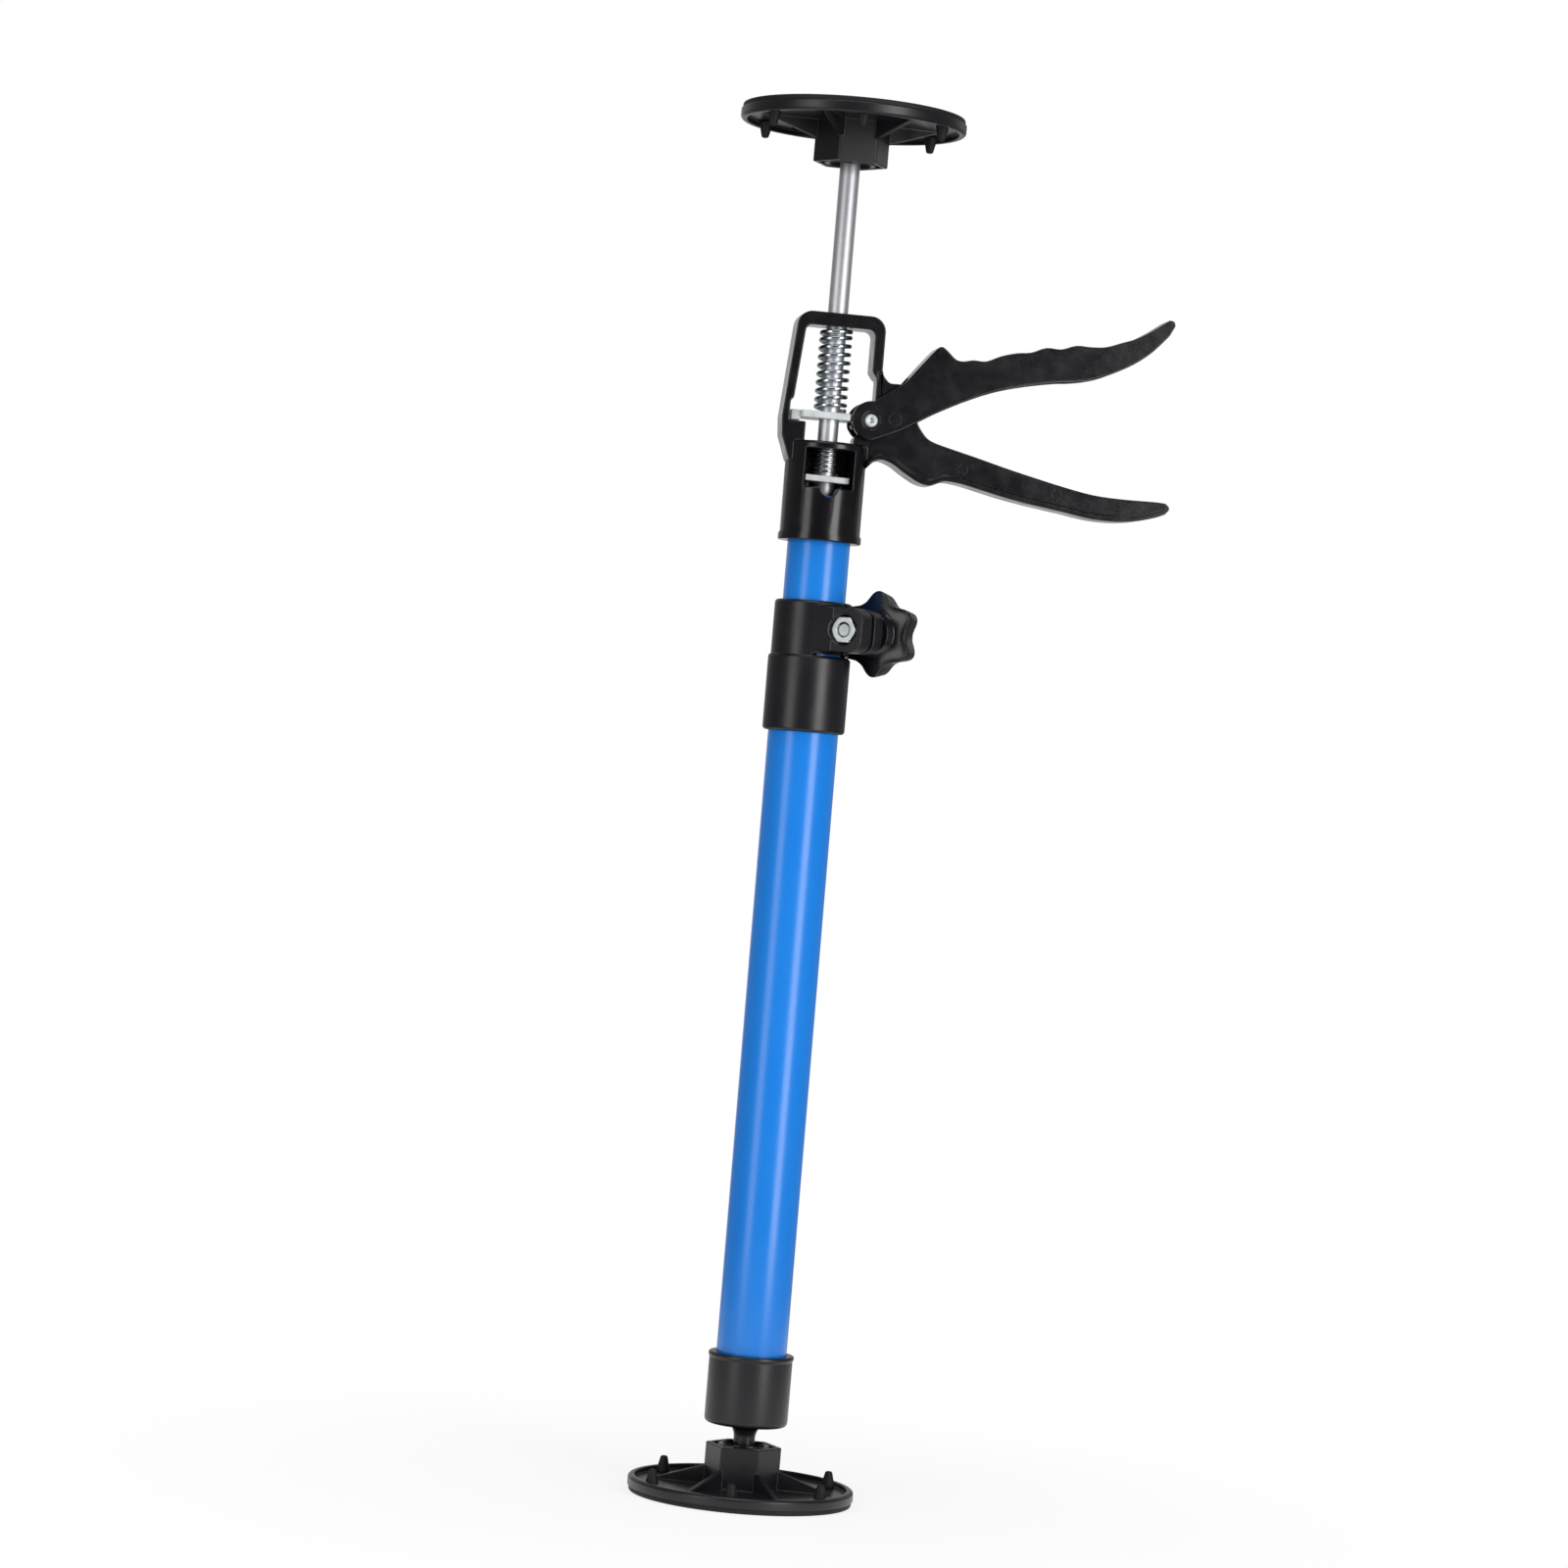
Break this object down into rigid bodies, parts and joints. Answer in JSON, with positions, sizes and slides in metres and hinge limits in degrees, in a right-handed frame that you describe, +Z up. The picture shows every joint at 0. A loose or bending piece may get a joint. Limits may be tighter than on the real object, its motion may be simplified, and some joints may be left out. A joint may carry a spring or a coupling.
{
  "type": "telescopic drywall support pole",
  "caption": "Telescopic support pole with blue clamped tubes, black squeeze-trigger jack head, chrome push rod and round ball-jointed pads.",
  "frame": {"origin": "centre of the foot pad's face, on the axis of the pole", "axes": "+Z up along the pole from the foot pad to the head pad, +X along the fixed handle and the trigger"},
  "size_m": [0.1848, 0.09, 0.5525],
  "materials": {
    "blue_paint": "gloss",
    "black_plastic": "satin",
    "rubber": "matte",
    "natural_plastic": "satin",
    "zinc_steel": "satin",
    "spring_steel": "satin",
    "chrome_rod": "polished"
  },
  "bodies": {
    "pole_lower": {"outer_tube": "blue_paint", "foot_cap": "black_plastic", "cap_screw": "zinc_steel", "clamp_collar": "black_plastic", "collar_screw": "zinc_steel", "clamp_nut": "zinc_steel", "clamp_washer": "zinc_steel"},
    "foot_ball": {"foot_ball_stud": "black_plastic", "foot_stud_washer": "zinc_steel", "foot_stud_screw": "zinc_steel"},
    "foot": {"foot_pad": "black_plastic", "foot_grip_pad": "rubber"},
    "knob": {"clamp_knob": "black_plastic", "clamp_stud": "zinc_steel"},
    "bush": {"guide_bush": "natural_plastic"},
    "pole_upper": {"inner_tube": "blue_paint", "gun_frame": "black_plastic", "socket_screw": "zinc_steel", "trigger_rivet": "zinc_steel"},
    "squeeze_lever": {"trigger": "black_plastic"},
    "drive": {"drive_plate": "zinc_steel", "main_spring": "spring_steel"},
    "brake": {"brake_plate": "zinc_steel", "brake_spring": "spring_steel"},
    "rod": {"push_rod": "chrome_rod", "rod_stop_clip": "zinc_steel"},
    "rod_ball": {"head_ball": "zinc_steel"},
    "head": {"head_pad": "black_plastic", "head_grip_pad": "rubber"}
  },
  "joints": [
    {"name": "foot_swivel", "type": "hinge", "parent": "pole_lower", "child": "foot_ball", "pos_m": [0, 0, 0.0292], "axis": [0, 0, 1], "continuous": true},
    {"name": "foot_tilt", "type": "hinge", "parent": "foot_ball", "child": "foot", "pos_m": [0, 0, 0.013], "axis": [1, 0, 0], "range_deg": [-20, 20]},
    {"name": "clamp_turn", "type": "hinge", "parent": "pole_lower", "child": "knob", "pos_m": [0.01521, -0.01299, 0.3465], "axis": [0.6494, 0.7604, 0], "continuous": true},
    {"name": "pole_extend", "type": "slide", "parent": "pole_lower", "child": "bush", "axis": [0, 0, 1], "range_m": [-0.0225, 0.2]},
    {"name": "pole_twist", "type": "hinge", "parent": "bush", "child": "pole_upper", "pos_m": [0, 0, 0.088], "axis": [0, 0, 1], "continuous": true},
    {"name": "trigger_squeeze", "type": "hinge", "parent": "pole_upper", "child": "squeeze_lever", "pos_m": [0.0159, 0, 0.4305], "axis": [0, 1, 0], "range_deg": [0, 24], "stiffness_Nm_per_rad": 0.3, "springref_deg": -20.05},
    {"name": "drive_lift", "type": "slide", "parent": "pole_upper", "child": "drive", "axis": [0, 0, 1], "range_m": [0, 0.0027], "deforming": ["main_spring"]},
    {"name": "brake_release", "type": "hinge", "parent": "pole_upper", "child": "brake", "pos_m": [-0.0089, 0, 0.4046], "axis": [0, -1, 0], "range_deg": [0, 5], "stiffness_Nm_per_rad": 0.02, "springref_deg": -11.46, "deforming": ["brake_spring"]},
    {"name": "rod_extend", "type": "slide", "parent": "pole_upper", "child": "rod", "axis": [0, 0, 1], "range_m": [-0.05, 0.09]},
    {"name": "head_swivel", "type": "hinge", "parent": "rod", "child": "rod_ball", "pos_m": [0, 0, 0.5395], "axis": [0, 0, 1], "continuous": true},
    {"name": "head_tilt", "type": "hinge", "parent": "rod_ball", "child": "head", "pos_m": [0, 0, 0.5395], "axis": [1, 0, 0], "range_deg": [-20, 20]}
  ],
  "couplings": [
    {"joint": "drive_lift", "follows": "trigger_squeeze", "m_per_rad": 0.0062}
  ]
}
